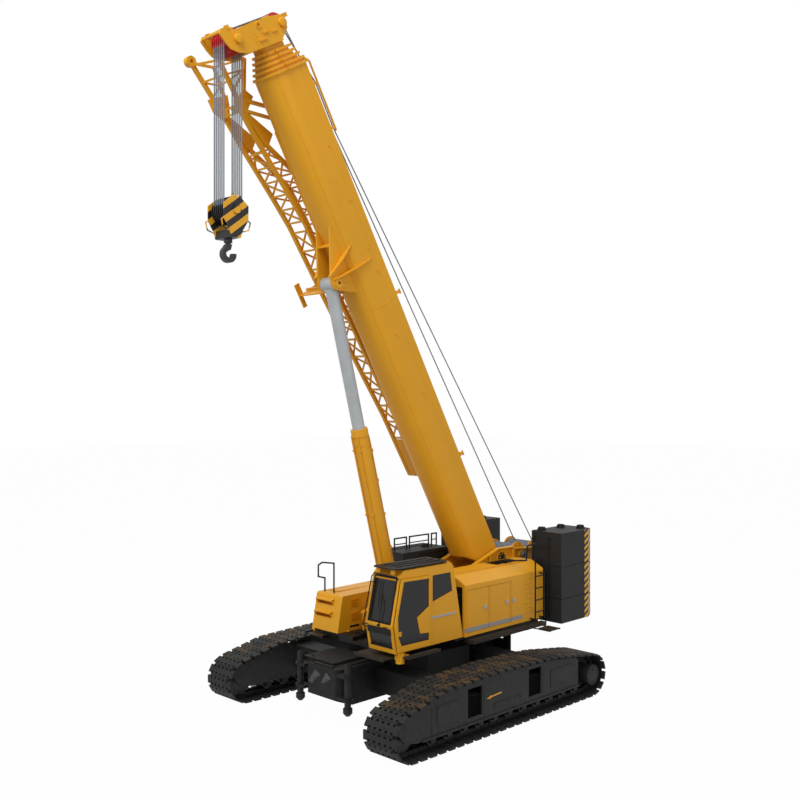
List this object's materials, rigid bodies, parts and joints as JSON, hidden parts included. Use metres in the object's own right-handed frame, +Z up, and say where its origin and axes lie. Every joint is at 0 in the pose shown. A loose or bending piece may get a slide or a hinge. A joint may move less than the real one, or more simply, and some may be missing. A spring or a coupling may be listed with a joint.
{
  "type": "crawler crane",
  "caption": "Telescopic-boom crawler crane with luffing cylinder, stowed lattice jib, slewing upper works and counterweight stacks on two wide tracks",
  "frame": {"origin": "on the ground, under the middle of the whole machine as it stands; the slewing axis is 0.48 m behind it", "axes": "+X is the way the crane drives and the boom points, +Y is the cab side (left), +Z is up"},
  "size_m": [10.1813, 6.16, 14.7651],
  "materials": {
    "black_paint": "satin paint",
    "chromed_rod": "ground and plated",
    "dark_grey_paint": "satin paint",
    "engine_iron": "painted block",
    "forged_steel": "forged",
    "red_paint": "gloss paint",
    "running_steel": "greased steel",
    "seat_fabric": "woven",
    "track_steel": "worn matt steel",
    "window_glass": "tinted",
    "wire_rope": "stranded, greased",
    "yellow_paint": "gloss paint"
  },
  "bodies": {
    "undercarriage": {"car_body": "dark_grey_paint", "final_drives": "dark_grey_paint", "jack_barrels": "dark_grey_paint", "running_gear": "running_steel", "slewing_ring": "running_steel", "track_frames": "dark_grey_paint", "track_loop_left": "track_steel", "track_loop_right": "track_steel"},
    "boom": {"boom_base": "yellow_paint", "back_ropes": "wire_rope", "boom_rope_rack": "yellow_paint", "jib": "yellow_paint", "jib_shelf": "yellow_paint"},
    "luff_rod": {"luff_rod": "chromed_rod"},
    "luff_barrel": {"luff_barrel": "yellow_paint"},
    "hang": {"hoist_falls": "wire_rope"},
    "block": {"hook_block": "black_paint"},
    "hook": {"hook": "forged_steel"},
    "cab_door": {"cab_door": "yellow_paint", "cab_door_glass": "window_glass"},
    "winch_main": {"winch_main": "yellow_paint"},
    "winch_aux": {"winch_aux": "yellow_paint"},
    "head_front": {"head_sheaves_front": "red_paint"},
    "head_rear": {"head_sheaves_rear": "red_paint"},
    "section_2": {"boom_section_2": "yellow_paint"},
    "section_3": {"boom_section_3": "yellow_paint"},
    "section_4": {"boom_section_4": "yellow_paint"},
    "section_5": {"boom_section_5": "yellow_paint"},
    "section_6": {"boom_section_6": "yellow_paint", "boom_head": "yellow_paint"},
    "jack_front_left": {"jack_foot_front_left": "dark_grey_paint"},
    "jack_front_right": {"jack_foot_front_right": "dark_grey_paint"},
    "jack_rear_left": {"jack_foot_rear_left": "dark_grey_paint"},
    "jack_rear_right": {"jack_foot_rear_right": "dark_grey_paint"},
    "housing_door_front": {"housing_door_front": "yellow_paint"},
    "housing_door_rear": {"housing_door_rear": "yellow_paint"},
    "upper": {"boom_foot_pin": "running_steel", "cab_console": "dark_grey_paint", "cab_glass": "window_glass", "cab_guard": "dark_grey_paint", "cab_mount": "yellow_paint", "cab_seat": "seat_fabric", "cab_shell": "yellow_paint", "cab_steps": "dark_grey_paint", "counterweight_stacks": "dark_grey_paint", "counterweight_tray": "dark_grey_paint", "deck_rails": "dark_grey_paint", "engine": "engine_iron", "ladder": "dark_grey_paint", "left_housing": "yellow_paint", "right_housing": "yellow_paint", "right_steps": "dark_grey_paint", "service_box": "dark_grey_paint", "turntable": "yellow_paint", "walkway": "dark_grey_paint", "winch_frame": "yellow_paint"}
  },
  "joints": [
    {"name": "slew", "type": "hinge", "parent": "undercarriage", "child": "upper", "pos_m": [-0.48, 0, 1.375], "axis": [0, 0, 1], "continuous": true},
    {"name": "luff", "type": "hinge", "parent": "upper", "child": "boom", "pos_m": [-3.21, 0, 2.98], "axis": [0, -1, 0], "range_deg": [-60, 20]},
    {"name": "extend_2", "type": "slide", "parent": "boom", "child": "section_2", "axis": [0.5, 0, 0.866], "range_m": [0, 9.5]},
    {"name": "extend_3", "type": "slide", "parent": "section_2", "child": "section_3", "axis": [0.5, 0, 0.866], "range_m": [0, 9.5]},
    {"name": "extend_4", "type": "slide", "parent": "section_3", "child": "section_4", "axis": [0.5, 0, 0.866], "range_m": [0, 9.5]},
    {"name": "extend_5", "type": "slide", "parent": "section_4", "child": "section_5", "axis": [0.5, 0, 0.866], "range_m": [0, 9.5]},
    {"name": "extend_6", "type": "slide", "parent": "section_5", "child": "section_6", "axis": [0.5, 0, 0.866], "range_m": [0, 9.5]},
    {"name": "cylinder_swing", "type": "hinge", "parent": "boom", "child": "luff_rod", "pos_m": [1.94003, 0, 9.40012], "axis": [0, -1, 0], "range_deg": [-16.6, 5.7]},
    {"name": "cylinder_stroke", "type": "slide", "parent": "luff_rod", "child": "luff_barrel", "axis": [-0.2549, 0, -0.967], "range_m": [-2.9, 0.98]},
    {"name": "hook_level", "type": "hinge", "parent": "section_6", "child": "hang", "pos_m": [4.59583, 0, 13.9001], "axis": [0, -1, 0], "range_deg": [-20, 60]},
    {"name": "hoist", "type": "slide", "parent": "hang", "child": "block", "axis": [0, 0, -1], "range_m": [-1.6, 8.8], "deforming": ["hoist_falls"]},
    {"name": "hook_swivel", "type": "hinge", "parent": "block", "child": "hook", "pos_m": [4.596, 0, 10], "axis": [0, 0, 1], "continuous": true},
    {"name": "head_front_spin", "type": "hinge", "parent": "section_6", "child": "head_front", "pos_m": [4.59583, 0, 13.9001], "axis": [0, 1, 0], "continuous": true},
    {"name": "head_rear_spin", "type": "hinge", "parent": "section_6", "child": "head_rear", "pos_m": [3.53062, 0, 14.5151], "axis": [0, 1, 0], "continuous": true},
    {"name": "winch_main_spin", "type": "hinge", "parent": "upper", "child": "winch_main", "pos_m": [-4.04, 0, 2.96], "axis": [0, 1, 0], "continuous": true},
    {"name": "winch_aux_spin", "type": "hinge", "parent": "upper", "child": "winch_aux", "pos_m": [-4.73, 0, 2.96], "axis": [0, 1, 0], "continuous": true},
    {"name": "cab_door_slide", "type": "slide", "parent": "upper", "child": "cab_door", "axis": [-1, 0, 0], "range_m": [0, 0.72]},
    {"name": "housing_door_front_hinge", "type": "hinge", "parent": "upper", "child": "housing_door_front", "pos_m": [-0.72, 1.585, 2.16], "axis": [0, 0, -1], "range_deg": [0, 110]},
    {"name": "housing_door_rear_hinge", "type": "hinge", "parent": "upper", "child": "housing_door_rear", "pos_m": [-1.5, 1.585, 2.16], "axis": [0, 0, -1], "range_deg": [0, 110]},
    {"name": "jack_front_left_stroke", "type": "slide", "parent": "undercarriage", "child": "jack_front_left", "axis": [0, 0, -1], "range_m": [0, 0.55]},
    {"name": "jack_front_right_stroke", "type": "slide", "parent": "undercarriage", "child": "jack_front_right", "axis": [0, 0, -1], "range_m": [0, 0.55]},
    {"name": "jack_rear_left_stroke", "type": "slide", "parent": "undercarriage", "child": "jack_rear_left", "axis": [0, 0, -1], "range_m": [0, 0.55]},
    {"name": "jack_rear_right_stroke", "type": "slide", "parent": "undercarriage", "child": "jack_rear_right", "axis": [0, 0, -1], "range_m": [0, 0.55]}
  ],
  "couplings": [
    {"joint": "extend_3", "follows": "extend_2", "ratio": 1},
    {"joint": "extend_4", "follows": "extend_2", "ratio": 1},
    {"joint": "extend_5", "follows": "extend_2", "ratio": 1},
    {"joint": "extend_6", "follows": "extend_2", "ratio": 1},
    {"joint": "cylinder_swing", "follows": "luff", "ratio": 0.271},
    {"joint": "cylinder_stroke", "follows": "luff", "m_per_rad": 2.741},
    {"joint": "hook_level", "follows": "luff", "ratio": -1}
  ]
}
